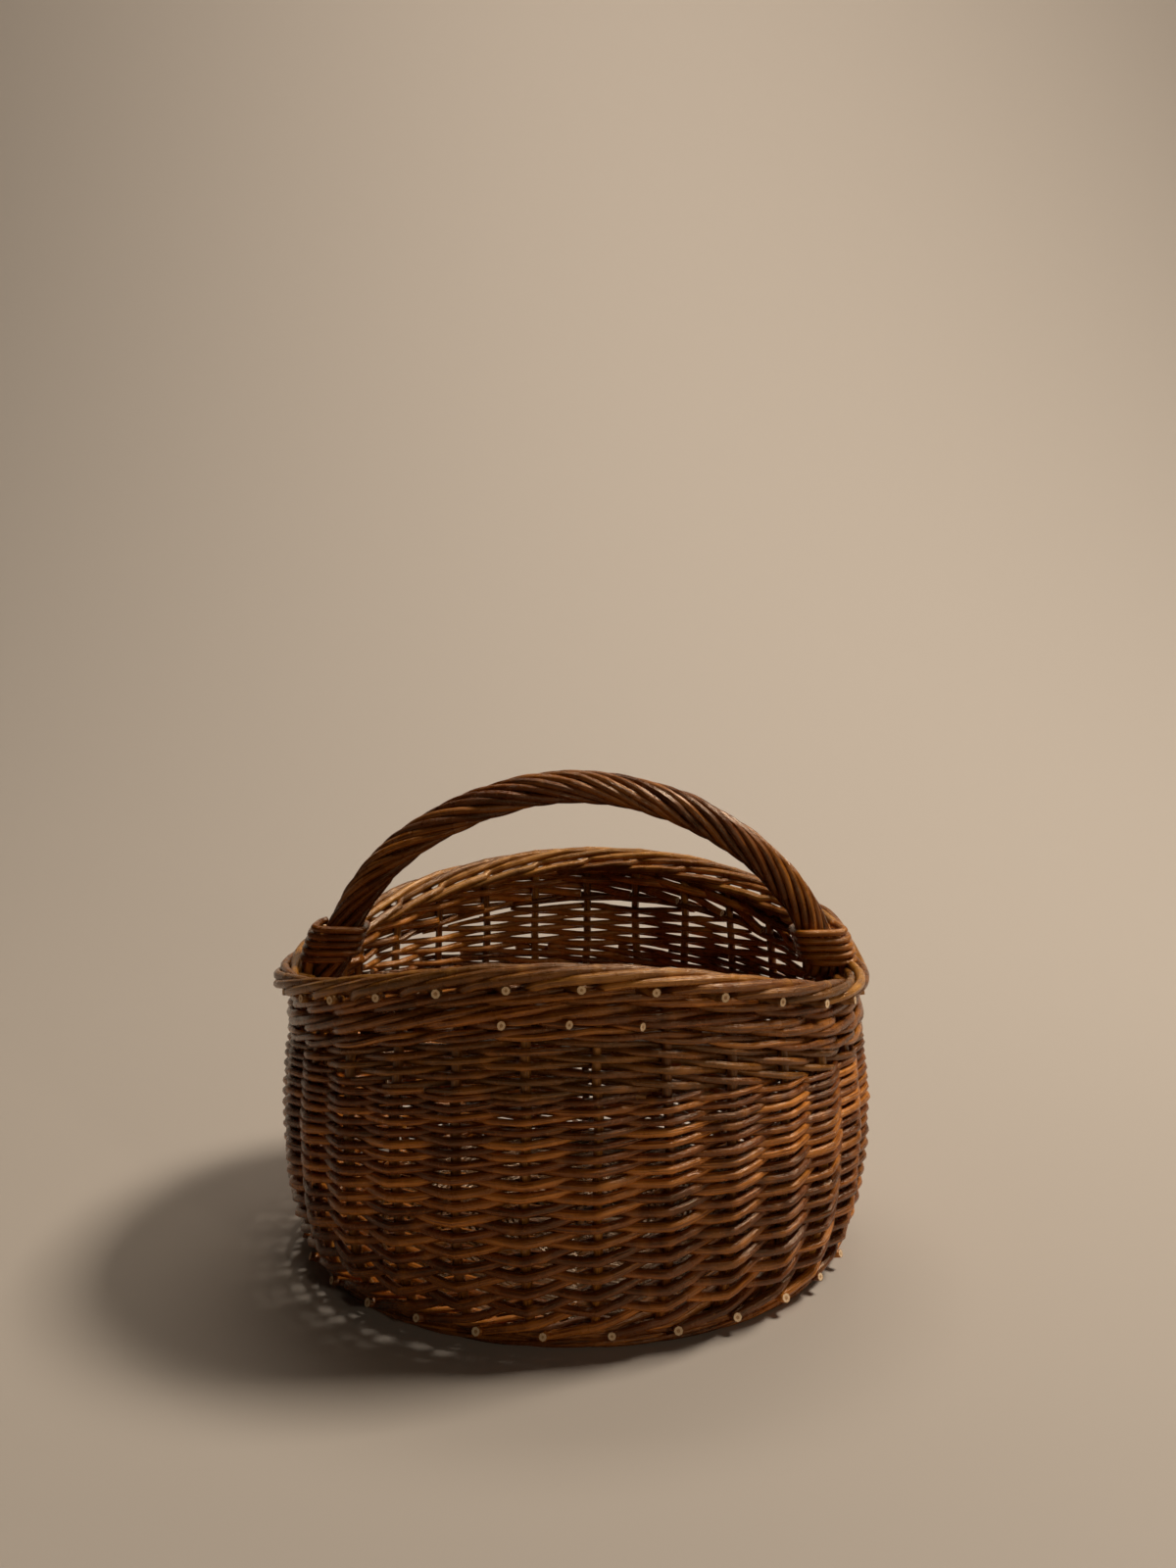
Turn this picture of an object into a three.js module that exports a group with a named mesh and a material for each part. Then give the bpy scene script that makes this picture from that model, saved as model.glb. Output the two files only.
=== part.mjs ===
// A round willow basket with a fixed bow handle, in millimetres, +Z up, standing on z = 0.
// Twenty-nine stakes rise from the base, are woven round, and are turned down at the rim,
// where they roll over each other as the border. The bow handle stands inside the wall,
// across the width, roped with willow rods and bound at each foot by a collar.
import * as THREE from "three";

// The wall's outer face at its widest, across the handle (X) and along it (Y).
const halfWidth = 202;
const halfDepth = 180;

// The rim is a saddle: high in the middle of the front and back, low at the handle's feet.
// It is a little uneven too, lower at the front's right and higher at the back's right.
const rimHeight = 240;
const backRimHeight = 243;
const rimHeightAtHandle = 199;
const frontSaddle = 2.3;
const backSaddle = 1.3;
const frontSkew = -4;
const backSkew = 9;

// The wall turns in towards the foot, and leans in a little above its widest level.
const footInset = 29;
const footTurn = 24;
const bellyHeight = 85;
const rimInset = 9;

// Willow rods: stakes, siding weavers (flattened a little by the weave) and wale rods.
const stakeCount = 29;
const stakeDiameter = 5.2;
const weaverHeight = 5.4;
const weaverThickness = 4.2;
const waleHeight = 5.4;
const waleThickness = 4.6;
const upsettRounds = 4;
const topWaleRounds = 4;
const clearance = 0.4;

// The border: each stake runs along the rim over this many bays, from the outside over the
// top to the inside, and the border stands out beyond the wall's middle by the overhang.
const borderBays = 3.5;
const borderStartAngle = -20;
const borderEndAngle = 210;
const borderOverhang = 9;

// The foot: a flat-bottomed ring that carries the stakes and the ends of the base sticks.
const footRingHeight = 5;
const footRingWidth = 15;

// The base: crossed sticks fanned out into spokes, woven with two weavers in turn.
const sticksEachWay = 4;
const baseStickDiameter = 5;
const stickGap = 7;
const stickSeat = 6;
const baseWeaverWidth = 5.4;
const baseWeaverThickness = 4;
const baseWeaveStart = 38;

// The handle: a thick bow, the rods roped round it, and a collar of turns at each foot. The
// bow's shape would be a half ellipse at 2; a little less draws its shoulders in.
const handleHeight = 329;
const bowShape = 1.87;
const bowDiameter = 12;
const bowInsertDepth = 95;
const ropeRods = 6;
const ropeRodDiameter = 5.2;
const ropeTwists = 3;
const collarTurns = 4.4;
const collarRodDiameter = 4.8;

const willow = { stake: 0x6b3a22, weaver: 0x5a2d1c, wale: 0x64361f, base: 0x6e4428, handle: 0x5c2c1b };
const basket = new THREE.Group();
const TURN = 2 * Math.PI;
const UP = new THREE.Vector3(0, 0, 1);

function add(name, geometry, colour) {
  const material = new THREE.MeshStandardMaterial({ color: colour, roughness: 0.55, metalness: 0 });
  const mesh = new THREE.Mesh(geometry, material);
  mesh.name = name;
  basket.add(mesh);
}

// A closed rod through points. Each point has a centre, a direction that shows which way
// is out, and the rod's two half sizes: along out, and across both out and the rod.
function rod(points, sides) {
  const positions = [];
  const faces = [];
  points.forEach((point, i) => {
    const before = points[Math.max(i - 1, 0)].centre;
    const after = points[Math.min(i + 1, points.length - 1)].centre;
    const toHere = point.centre.clone().sub(before).normalize();
    const fromHere = after.clone().sub(point.centre).normalize();
    const along = toHere.add(fromHere).normalize();
    const across = along.clone().cross(point.out).normalize();
    const out = across.clone().cross(along);
    for (let side = 0; side < sides; side += 1) {
      const angle = (side / sides) * TURN;
      const corner = point.centre.clone();
      corner.addScaledVector(out, Math.cos(angle) * point.halfOut);
      corner.addScaledVector(across, Math.sin(angle) * point.halfAcross);
      positions.push(corner.x, corner.y, corner.z);
    }
  });
  for (let i = 0; i < points.length - 1; i += 1) {
    for (let side = 0; side < sides; side += 1) {
      const a = i * sides + side;
      const b = i * sides + ((side + 1) % sides);
      faces.push(a, b, a + sides, b, b + sides, a + sides);
    }
  }
  const last = (points.length - 1) * sides;
  for (let side = 1; side < sides - 1; side += 1) {
    faces.push(0, side + 1, side);
    faces.push(last, last + side, last + side + 1);
  }
  const geometry = new THREE.BufferGeometry();
  geometry.setAttribute("position", new THREE.Float32BufferAttribute(positions, 3));
  geometry.setIndex(faces);
  return geometry;
}

// The rim and the wall.
const stakeRadius = stakeDiameter / 2;
const wallHalf = stakeRadius + clearance + Math.max(weaverThickness, waleThickness);
const borderStep = THREE.MathUtils.degToRad((borderEndAngle - borderStartAngle) / borderBays);
const borderRadius = (stakeDiameter + clearance) / (2 * Math.sin(borderStep / 2));
const borderHeight = 2 * borderRadius + stakeDiameter;
const footSlope = Math.atan(footInset / footTurn);
const footLevel = footRingHeight + clearance + stakeRadius * Math.sin(footSlope);
const wallTop = rimHeightAtHandle - borderHeight;

function rimTop(angle) {
  const front = Math.sin(angle) < 0;
  const toMiddle = Math.abs(Math.sin(angle));
  const middle = front ? rimHeight : backRimHeight;
  const saddle = (middle - rimHeightAtHandle) * toMiddle ** (front ? frontSaddle : backSaddle);
  const skew = (front ? frontSkew : backSkew) * Math.cos(angle) * toMiddle;
  return rimHeightAtHandle + saddle + skew;
}

function outward(angle) {
  const normal = new THREE.Vector3(Math.cos(angle) / halfWidth, Math.sin(angle) / halfDepth, 0);
  return normal.normalize();
}

// Levels are heights at the handle's feet. Above the foot the wall stretches with the rim.
function heightAt(angle, level) {
  const share = Math.max(0, (level - footLevel) / (wallTop - footLevel));
  return level + (rimTop(angle) - rimHeightAtHandle) * share;
}

function smoothInset(level) {
  const leaning = Math.max(0, (level - bellyHeight) / (wallTop - bellyHeight));
  return footInset * Math.exp(-level / footTurn) + rimInset * leaning ** 2;
}

// The stakes bend only at these levels, closest at the foot, and the weave follows them.
const stakeBends = 6;
const bendLevels = [];
for (let i = 0; i <= stakeBends; i += 1) {
  bendLevels.push(footLevel + (wallTop - footLevel) * (i / stakeBends) ** 2);
}

// The middle of the wall at a level, moved out along the wall's own normal.
function wallPoint(angle, level, offset) {
  let bend = bendLevels.findIndex((next) => next > level);
  bend = bend < 0 ? stakeBends : Math.max(bend, 1);
  const low = bendLevels[bend - 1];
  const high = bendLevels[bend];
  const share = (level - low) / (high - low);
  const inset = THREE.MathUtils.lerp(smoothInset(low), smoothInset(high), share);
  const rise = heightAt(angle, high) - heightAt(angle, low);
  const lean = smoothInset(high) - smoothInset(low);
  const out = outward(angle);
  const normal = out.clone().multiplyScalar(rise).addScaledVector(UP, lean).normalize();
  const centre = new THREE.Vector3(
    (halfWidth - wallHalf) * Math.cos(angle),
    (halfDepth - wallHalf) * Math.sin(angle),
    heightAt(angle, level),
  );
  centre.addScaledVector(out, -inset).addScaledVector(normal, offset);
  return { centre, out: normal, climb: rise / Math.hypot(rise, lean) };
}

const stakeAngle = (index) => (index / stakeCount) * TURN;

// Stakes, each turned down to the right at the rim as its share of the border.
const borderSteps = 7;
for (let index = 0; index < stakeCount; index += 1) {
  const angle = stakeAngle(index);
  const size = { halfOut: stakeRadius, halfAcross: stakeRadius };
  const points = bendLevels.map((level) => ({ ...wallPoint(angle, level, 0), ...size }));
  for (let step = 0; step <= borderSteps; step += 1) {
    const share = step / borderSteps;
    const along = angle + (share * borderBays * TURN) / stakeCount;
    const roll = THREE.MathUtils.degToRad(
      THREE.MathUtils.lerp(borderStartAngle, borderEndAngle, share),
    );
    const { centre } = wallPoint(along, wallTop, 0);
    const out = outward(along);
    centre.addScaledVector(out, borderOverhang + borderRadius * Math.cos(roll));
    centre.z = rimTop(along) - borderHeight / 2 + borderRadius * Math.sin(roll);
    points.push({ centre, out, ...size });
  }
  add("stake_" + String(index + 1).padStart(2, "0"), rod(points, 4), willow.stake);
}

// The weave: one course of rod after another, climbing in one spiral. It goes inside at
// every insideEvery-th stake. The odd number of stakes makes the rounds alternate.
const tail = 0.3;
let crossing = 0;
let level = footLevel + waleHeight;
let lastPitch = waleHeight + clearance;

function course(name, topLevel, height, thickness, insideEvery, colour) {
  const pitch = height + clearance;
  level += Math.abs(pitch - lastPitch) / 2;
  lastPitch = pitch;
  const offset = stakeRadius + clearance + thickness / 2;
  const size = { halfOut: thickness / 2, halfAcross: height / 2 };
  const at = (index, height) => {
    const side = index % insideEvery === 0 ? -1 : 1;
    return { ...wallPoint(stakeAngle(index), height, side * offset), ...size };
  };
  const tailPoint = (point, neighbour) => {
    return { ...point, centre: point.centre.clone().lerp(neighbour.centre, tail) };
  };
  const points = [];
  const before = at(crossing - 1, level);
  while (level < topLevel) {
    const point = at(crossing, level);
    points.push(point);
    level += (pitch / stakeCount) * point.climb;
    crossing += 1;
  }
  const start = tailPoint(points[0], before);
  const end = tailPoint(points[points.length - 1], at(crossing, level));
  add(name, rod([start, ...points, end], 4), colour);
}

const topWaleStart = wallTop - topWaleRounds * (waleHeight + clearance);
const upsettTop = level + upsettRounds * (waleHeight + clearance);
const sidingStep = (topWaleStart - upsettTop) / 3;
course("upsett_wale", upsettTop, waleHeight, waleThickness, 3, willow.wale);
course("lower_siding", upsettTop + sidingStep, weaverHeight, weaverThickness, 2, willow.weaver);
course("middle_siding", upsettTop + 2 * sidingStep, weaverHeight, weaverThickness, 2, willow.weaver);
course("upper_siding", topWaleStart, weaverHeight, weaverThickness, 2, willow.weaver);
course("top_wale", wallTop - waleHeight / 2, waleHeight, waleThickness, 3, willow.wale);

// The foot ring, flat underneath, just wider than the stakes that stand on it.
const ringBevel = 1.5;
const ringProud = 1;
const ringSegments = 20;
const ringInset = wallHalf + smoothInset(footLevel) - stakeRadius - ringProud;
const ringInnerWidth = halfWidth - ringInset - footRingWidth;
const ringInnerDepth = halfDepth - ringInset - footRingWidth;

function footRing() {
  const outline = new THREE.Shape();
  outline.absellipse(0, 0, halfWidth - ringInset, halfDepth - ringInset, 0, TURN, false, 0);
  const hole = new THREE.Path();
  hole.absellipse(0, 0, ringInnerWidth, ringInnerDepth, 0, TURN, true, 0);
  outline.holes.push(hole);
  const geometry = new THREE.ExtrudeGeometry(outline, {
    depth: footRingHeight - 2 * ringBevel,
    bevelThickness: ringBevel,
    bevelSize: ringBevel,
    bevelOffset: -ringBevel,
    bevelSegments: 1,
    curveSegments: ringSegments,
  });
  return geometry.translate(0, 0, ringBevel);
}
add("foot_ring", footRing(), willow.wale);

// The base sticks: two bundles laid crosswise at the middle, each stick fanned out to its
// own spoke, with its ends on the foot ring.
const baseStickRadius = baseStickDiameter / 2;
const baseHeight = footRingHeight + clearance + baseStickRadius;
const spokeStep = Math.PI / (2 * sticksEachWay);
const bundleHalf = (sticksEachWay * stickGap) / 2;

// A point of the base at a spoke's angle, its distance measured along the width.
function basePoint(angle, distance, height) {
  const stretch = Math.hypot(Math.cos(angle), (Math.sin(angle) * ringInnerWidth) / ringInnerDepth);
  const reach = distance / stretch;
  return new THREE.Vector3(reach * Math.cos(angle), reach * Math.sin(angle), height);
}

function baseStick(place, bundle) {
  const turned = (bundle * Math.PI) / 2;
  const lift = bundle * (baseStickDiameter + clearance);
  const fan = (place - (sticksEachWay - 1) / 2) * spokeStep;
  const across = (place - (sticksEachWay - 1) / 2) * stickGap;
  const middle = new THREE.Vector3(bundleHalf, across, baseHeight + lift);
  middle.applyAxisAngle(UP, turned);
  const half = [
    middle,
    basePoint(turned + fan, baseWeaveStart - baseWeaverWidth, baseHeight),
    basePoint(turned + fan, ringInnerWidth + stickSeat, baseHeight),
  ];
  const other = [
    middle.clone().set(-bundleHalf, across, baseHeight + lift).applyAxisAngle(UP, turned),
    basePoint(turned + Math.PI - fan, baseWeaveStart - baseWeaverWidth, baseHeight),
    basePoint(turned + Math.PI - fan, ringInnerWidth + stickSeat, baseHeight),
  ];
  const size = { out: UP, halfOut: baseStickRadius, halfAcross: baseStickRadius };
  return rod([...other.reverse(), ...half].map((centre) => ({ centre, ...size })), 4);
}

for (let place = 0; place < 2 * sticksEachWay; place += 1) {
  const bundle = Math.floor(place / sticksEachWay);
  add("base_stick_" + (place + 1), baseStick(place % sticksEachWay, bundle), willow.base);
}

// Two base weavers chase each other outwards, one over the spokes that the other is under.
function baseWeaver(turn) {
  const pitch = ((baseWeaverWidth + clearance) * ringInnerWidth) / ringInnerDepth;
  const offset = baseStickRadius + clearance + baseWeaverThickness / 2;
  const farthest = ringInnerWidth - clearance - baseWeaverWidth / 2;
  const spokes = 4 * sticksEachWay;
  const points = [];
  let distance = baseWeaveStart + turn * pitch;
  for (let spoke = 0; distance < farthest; spoke += 1) {
    const side = (spoke + turn) % 2 === 0 ? 1 : -1;
    const centre = basePoint((spoke + 0.5) * spokeStep, distance, baseHeight + side * offset);
    points.push({ centre, out: UP, halfOut: baseWeaverThickness / 2, halfAcross: baseWeaverWidth / 2 });
    distance += (2 * pitch) / spokes;
  }
  return rod(points, 4);
}
add("base_weaver_1", baseWeaver(0), willow.base);
add("base_weaver_2", baseWeaver(1), willow.base);

// The bow springs from the top of the wall, just inside it. Below that its legs lie against
// the wall's inner face, edge on, and end in a taper.
const bowRadius = bowDiameter / 2;
const ropeRadius = ropeRodDiameter / 2;
const stepsPerTwist = 12;
const ropeMiddle = (bowRadius + clearance) / Math.cos(Math.PI / stepsPerTwist) + ropeRadius;
const ropeOuter = ropeMiddle + ropeRadius;
const legOffset = -(wallHalf + clearance + bowRadius);
const bowHalfWidth = wallPoint(0, wallTop, legOffset).centre.x;
const bowRise = handleHeight - ropeOuter - wallTop;
const SIDE = new THREE.Vector3(0, 1, 0);

class BowLine extends THREE.Curve {
  getPoint(share) {
    const across = Math.cos(share * Math.PI);
    const up = Math.sin(share * Math.PI);
    const reach = Math.sign(across) * Math.abs(across) ** (2 / bowShape);
    return new THREE.Vector2(bowHalfWidth * reach, wallTop + bowRise * up ** (2 / bowShape));
  }
}
const bowCurve = new BowLine();

function bowPoint(share) {
  const flat = bowCurve.getPointAt(share);
  const slope = bowCurve.getTangentAt(share);
  const centre = new THREE.Vector3(flat.x, 0, flat.y);
  return { centre, away: new THREE.Vector3(slope.y, 0, -slope.x) };
}

const bowSteps = 26;
const bowTaper = 0.45;

function handleBow() {
  const legLevels = bendLevels.filter((bend) => bend > wallTop - bowInsertDepth && bend < wallTop);
  const leg = (angle) => legLevels.map((bend) => wallPoint(angle, bend, legOffset).centre);
  const tip = (angle) => wallPoint(angle, wallTop - bowInsertDepth, legOffset).centre;
  const arch = [];
  for (let step = 0; step <= bowSteps; step += 1) arch.push(bowPoint(step / bowSteps).centre);
  const centres = [tip(0), ...leg(0), ...arch, ...leg(Math.PI).reverse(), tip(Math.PI)];
  return rod(
    centres.map((centre, i) => {
      const half = bowRadius * (i === 0 || i === centres.length - 1 ? bowTaper : 1);
      const out = new THREE.Vector3(centre.x, 0, Math.max(centre.z - wallTop, 0));
      return { centre, out, halfOut: half, halfAcross: half };
    }),
    6,
  );
}
add("handle_bow", handleBow(), willow.handle);

// A rod wound round the bow, at an angle about it for each share of its length.
function wound(shares, angleAt, middle, radius) {
  return rod(
    shares.map((share) => {
      const { centre, away } = bowPoint(share);
      const out = away.multiplyScalar(Math.cos(angleAt(share)));
      out.addScaledVector(SIDE, Math.sin(angleAt(share)));
      centre.addScaledVector(out, middle);
      return { centre, out, halfOut: radius, halfAcross: radius };
    }),
    4,
  );
}

const bowLength = bowCurve.getLength();
const ropeStart = waleHeight / 2 / bowLength;
const ropeSteps = Math.round(ropeTwists * stepsPerTwist);
for (let index = 0; index < ropeRods; index += 1) {
  const shares = [];
  for (let step = 0; step <= ropeSteps; step += 1) {
    shares.push(THREE.MathUtils.lerp(ropeStart, 1 - ropeStart, step / ropeSteps));
  }
  const first = (index / ropeRods) * TURN;
  const angleAt = (share) => first + ropeTwists * TURN * share;
  add("handle_rod_" + (index + 1), wound(shares, angleAt, ropeMiddle, ropeRadius), willow.handle);
}

// Each collar is one rod bound in level turns round the roped foot of the handle, just above
// the border. The handle leans in there, most at the collar's top, and a level cut of it is
// wider for that.
const collarSteps = 10;
const collarRadius = collarRodDiameter / 2;
const collarPitch = collarRodDiameter + clearance;
const collarLow = rimHeightAtHandle + clearance + collarRadius;
const collarHigh = collarLow + collarTurns * collarPitch;

function bowReach(height) {
  return bowHalfWidth * (1 - ((height - wallTop) / bowRise) ** bowShape) ** (1 / bowShape);
}
const collarLean = (bowReach(collarHigh - collarPitch) - bowReach(collarHigh)) / collarPitch;
const collarInner = (ropeOuter * Math.hypot(1, collarLean) + clearance) / Math.cos(Math.PI / collarSteps);

function collar(sign) {
  const points = [];
  for (let step = 0; step <= Math.round(collarTurns * collarSteps); step += 1) {
    const turn = step / collarSteps;
    const height = collarLow + turn * collarPitch;
    const out = new THREE.Vector3(sign * Math.sin(turn * TURN), -Math.cos(turn * TURN), 0);
    const centre = new THREE.Vector3(sign * bowReach(height), 0, height);
    centre.addScaledVector(out, collarInner + collarRadius);
    points.push({ centre, out, halfOut: collarRadius, halfAcross: collarRadius });
  }
  return rod(points, 4);
}
add("right_collar", collar(1), willow.handle);
add("left_collar", collar(-1), willow.handle);

export default basket;
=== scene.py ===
import math
import bmesh
import bpy
import numpy as np
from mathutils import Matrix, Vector, noise


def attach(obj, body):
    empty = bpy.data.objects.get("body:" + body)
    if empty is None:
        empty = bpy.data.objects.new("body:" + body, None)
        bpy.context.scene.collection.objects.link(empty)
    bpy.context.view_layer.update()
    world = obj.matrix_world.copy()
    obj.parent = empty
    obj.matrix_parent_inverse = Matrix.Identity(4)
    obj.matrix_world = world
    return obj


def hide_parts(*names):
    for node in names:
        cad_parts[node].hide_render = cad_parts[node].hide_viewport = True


# A willow basket with a roped bow handle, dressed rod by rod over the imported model.
# Sizes are in millimetres here and become metres where a rod is swept.
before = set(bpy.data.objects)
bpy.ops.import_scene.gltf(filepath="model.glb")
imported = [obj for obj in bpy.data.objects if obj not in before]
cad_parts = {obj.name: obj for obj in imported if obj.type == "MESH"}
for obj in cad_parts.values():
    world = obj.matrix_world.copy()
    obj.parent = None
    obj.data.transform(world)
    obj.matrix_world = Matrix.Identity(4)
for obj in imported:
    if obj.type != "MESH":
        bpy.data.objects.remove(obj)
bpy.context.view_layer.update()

# The camera stands a little above the rim and looks slightly down, square to the handle.
PHOTO_WIDTH = 1200
PIXEL_FOCAL = 1400
CAMERA_PLACE = (-0.010, -0.921, 0.447)
DEGREES_DOWN = 7.93
TURNED_RIGHT = 0.020
camera_data = bpy.data.cameras.new("camera")
camera_data.sensor_fit = "HORIZONTAL"
camera_data.sensor_width = 36
camera_data.lens = camera_data.sensor_width * PIXEL_FOCAL / PHOTO_WIDTH
camera = bpy.data.objects.new("camera", camera_data)
camera.location = CAMERA_PLACE
camera.rotation_euler = (math.radians(90 - DEGREES_DOWN), 0, -TURNED_RIGHT)
bpy.context.scene.collection.objects.link(camera)
bpy.context.scene.camera = camera

UP = Vector((0, 0, 1))
BACK = Vector((0, 1, 0))

# The wall, the rim and the stakes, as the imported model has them. The saddle exponents say how
# late the rim rises from the handle, and the skews how much higher it is on the right.
HALF_WIDTH = 202
HALF_DEPTH = 180
RIM_HEIGHT = 240
BACK_RIM_HEIGHT = 243
RIM_AT_HANDLE = 199
FRONT_SADDLE = 2.3
BACK_SADDLE = 1.3
FRONT_SKEW = -4
BACK_SKEW = 9
FOOT_INSET = 29
FOOT_TURN = 24
BELLY_HEIGHT = 85
RIM_INSET = 9
STAKES = 29
BAY = math.tau / STAKES
STAKE_RADIUS = 2.6
WALL_HALF = 7.6
FOOT_LEVEL = 7.4
WALL_TOP = RIM_AT_HANDLE - 15.52
# Behind the right collar the rim stands up in a hump, which only the dressed basket has.
HUMP = 7.5
HUMP_ANGLE = 0.31
HUMP_SPREAD = 0.17

# The bands of the weave, from the foot to the border.
RANDING_START = 20.5
RANDING_TOP = 164
RANDING_TOP_AT_HANDLE = 152
RANDING_ROWS = 33
PACKING_ROWS = 8
PACKING_PITCH = 4.3
WALE_BAND = 31

# The rolled border: how far it turns, over how many bays, and the oval that it turns round.
ROLL_HEIGHT = 13.8
ROLL_BEGINS = 0.4
ROLL_BAYS = 3.95
ROLL_START = -35
ROLL_END = 215
ROLL_STEPS = 36
ROLL_OUT = 6.2
ROLL_HALF_WIDTH = 5.8
ROLL_HALF_HEIGHT = 4.2
# At the left handle it bulges out, most of all a little to the front.
END_BULGE = 5
END_BULGE_TURN = 0.22
END_BULGE_SHARPNESS = 14


def rim_top(angle):
    """The height of the border's top, lowest at the handles."""
    front = math.sin(angle) < 0
    to_middle = abs(math.sin(angle))
    middle = RIM_HEIGHT if front else BACK_RIM_HEIGHT
    saddle = (middle - RIM_AT_HANDLE) * to_middle ** (FRONT_SADDLE if front else BACK_SADDLE)
    skew = (FRONT_SKEW if front else BACK_SKEW) * math.cos(angle) * to_middle
    hump = HUMP * math.exp(-((angle % math.tau - HUMP_ANGLE) / HUMP_SPREAD) ** 2)
    return RIM_AT_HANDLE + saddle + skew + hump


def outward(angle):
    """The level direction out of the basket."""
    return Vector((math.cos(angle) / HALF_WIDTH, math.sin(angle) / HALF_DEPTH, 0)).normalized()


def inset(angle, height):
    """How far the wall stands in at a height, which is first brought to its level at the handle."""
    rise = (rim_top(angle) - RIM_AT_HANDLE) / (WALL_TOP - FOOT_LEVEL)
    level = height
    if height > FOOT_LEVEL:
        level = (height + rise * FOOT_LEVEL) / (1 + rise)
    leaning = max(0, (level - BELLY_HEIGHT) / (WALL_TOP - BELLY_HEIGHT))
    return FOOT_INSET * math.exp(-level / FOOT_TURN) + RIM_INSET * leaning ** 2


def wall(place, height, offset=0):
    """A point of the wall at a place counted in bays, moved out from the wall's middle."""
    angle = place * BAY
    out = outward(angle)
    slope = inset(angle, height + 1) - inset(angle, height - 1)
    normal = (out + UP * max(slope / 2, -1)).normalized()
    middle = Vector((
        (HALF_WIDTH - WALL_HALF) * math.cos(angle),
        (HALF_DEPTH - WALL_HALF) * math.sin(angle),
        height,
    ))
    return middle - out * inset(angle, height) + normal * offset


def wale_low(place):
    """The lower edge of the upper wale's band."""
    return rim_top(place * BAY) - ROLL_HEIGHT - WALE_BAND


def smooth(share):
    share = min(max(share, 0), 1)
    return share * share * (3 - 2 * share)


def drift(place, strand, reach):
    """A wander in two sizes, because no willow rod is quite straight."""
    slow = noise.noise(Vector((place * 0.9, strand * 7.31, 0.5)))
    quick = noise.noise(Vector((place * 3.1, strand * 5.17, 2.5)))
    return reach * (slow + 0.3 * quick)


def chance(strand, salt):
    """A fixed pseudo-random number from 0 to 1 for a rod."""
    return (math.sin(strand * 12.9898 + salt * 78.233) * 43758.5453) % 1


# Materials. Colours are written as sRGB hex.
def colour(hex_code):
    parts = [int(hex_code[i:i + 2], 16) / 255 for i in (0, 2, 4)]
    linear = [p / 12.92 if p <= 0.04045 else ((p + 0.055) / 1.055) ** 2.4 for p in parts]
    return (*linear, 1)


def add(tree, kind, inputs=None, **settings):
    """Adds one node. An input takes a value, or the socket of another node."""
    fresh = tree.nodes.new(kind)
    for key, value in settings.items():
        setattr(fresh, key, value)
    for key, value in (inputs or {}).items():
        if isinstance(value, bpy.types.NodeSocket):
            tree.links.new(value, fresh.inputs[key])
        else:
            fresh.inputs[key].default_value = value
    return fresh


def new_material(name):
    material = bpy.data.materials.new(name)
    material.use_nodes = True
    material.node_tree.nodes.clear()
    return material, material.node_tree


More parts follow.
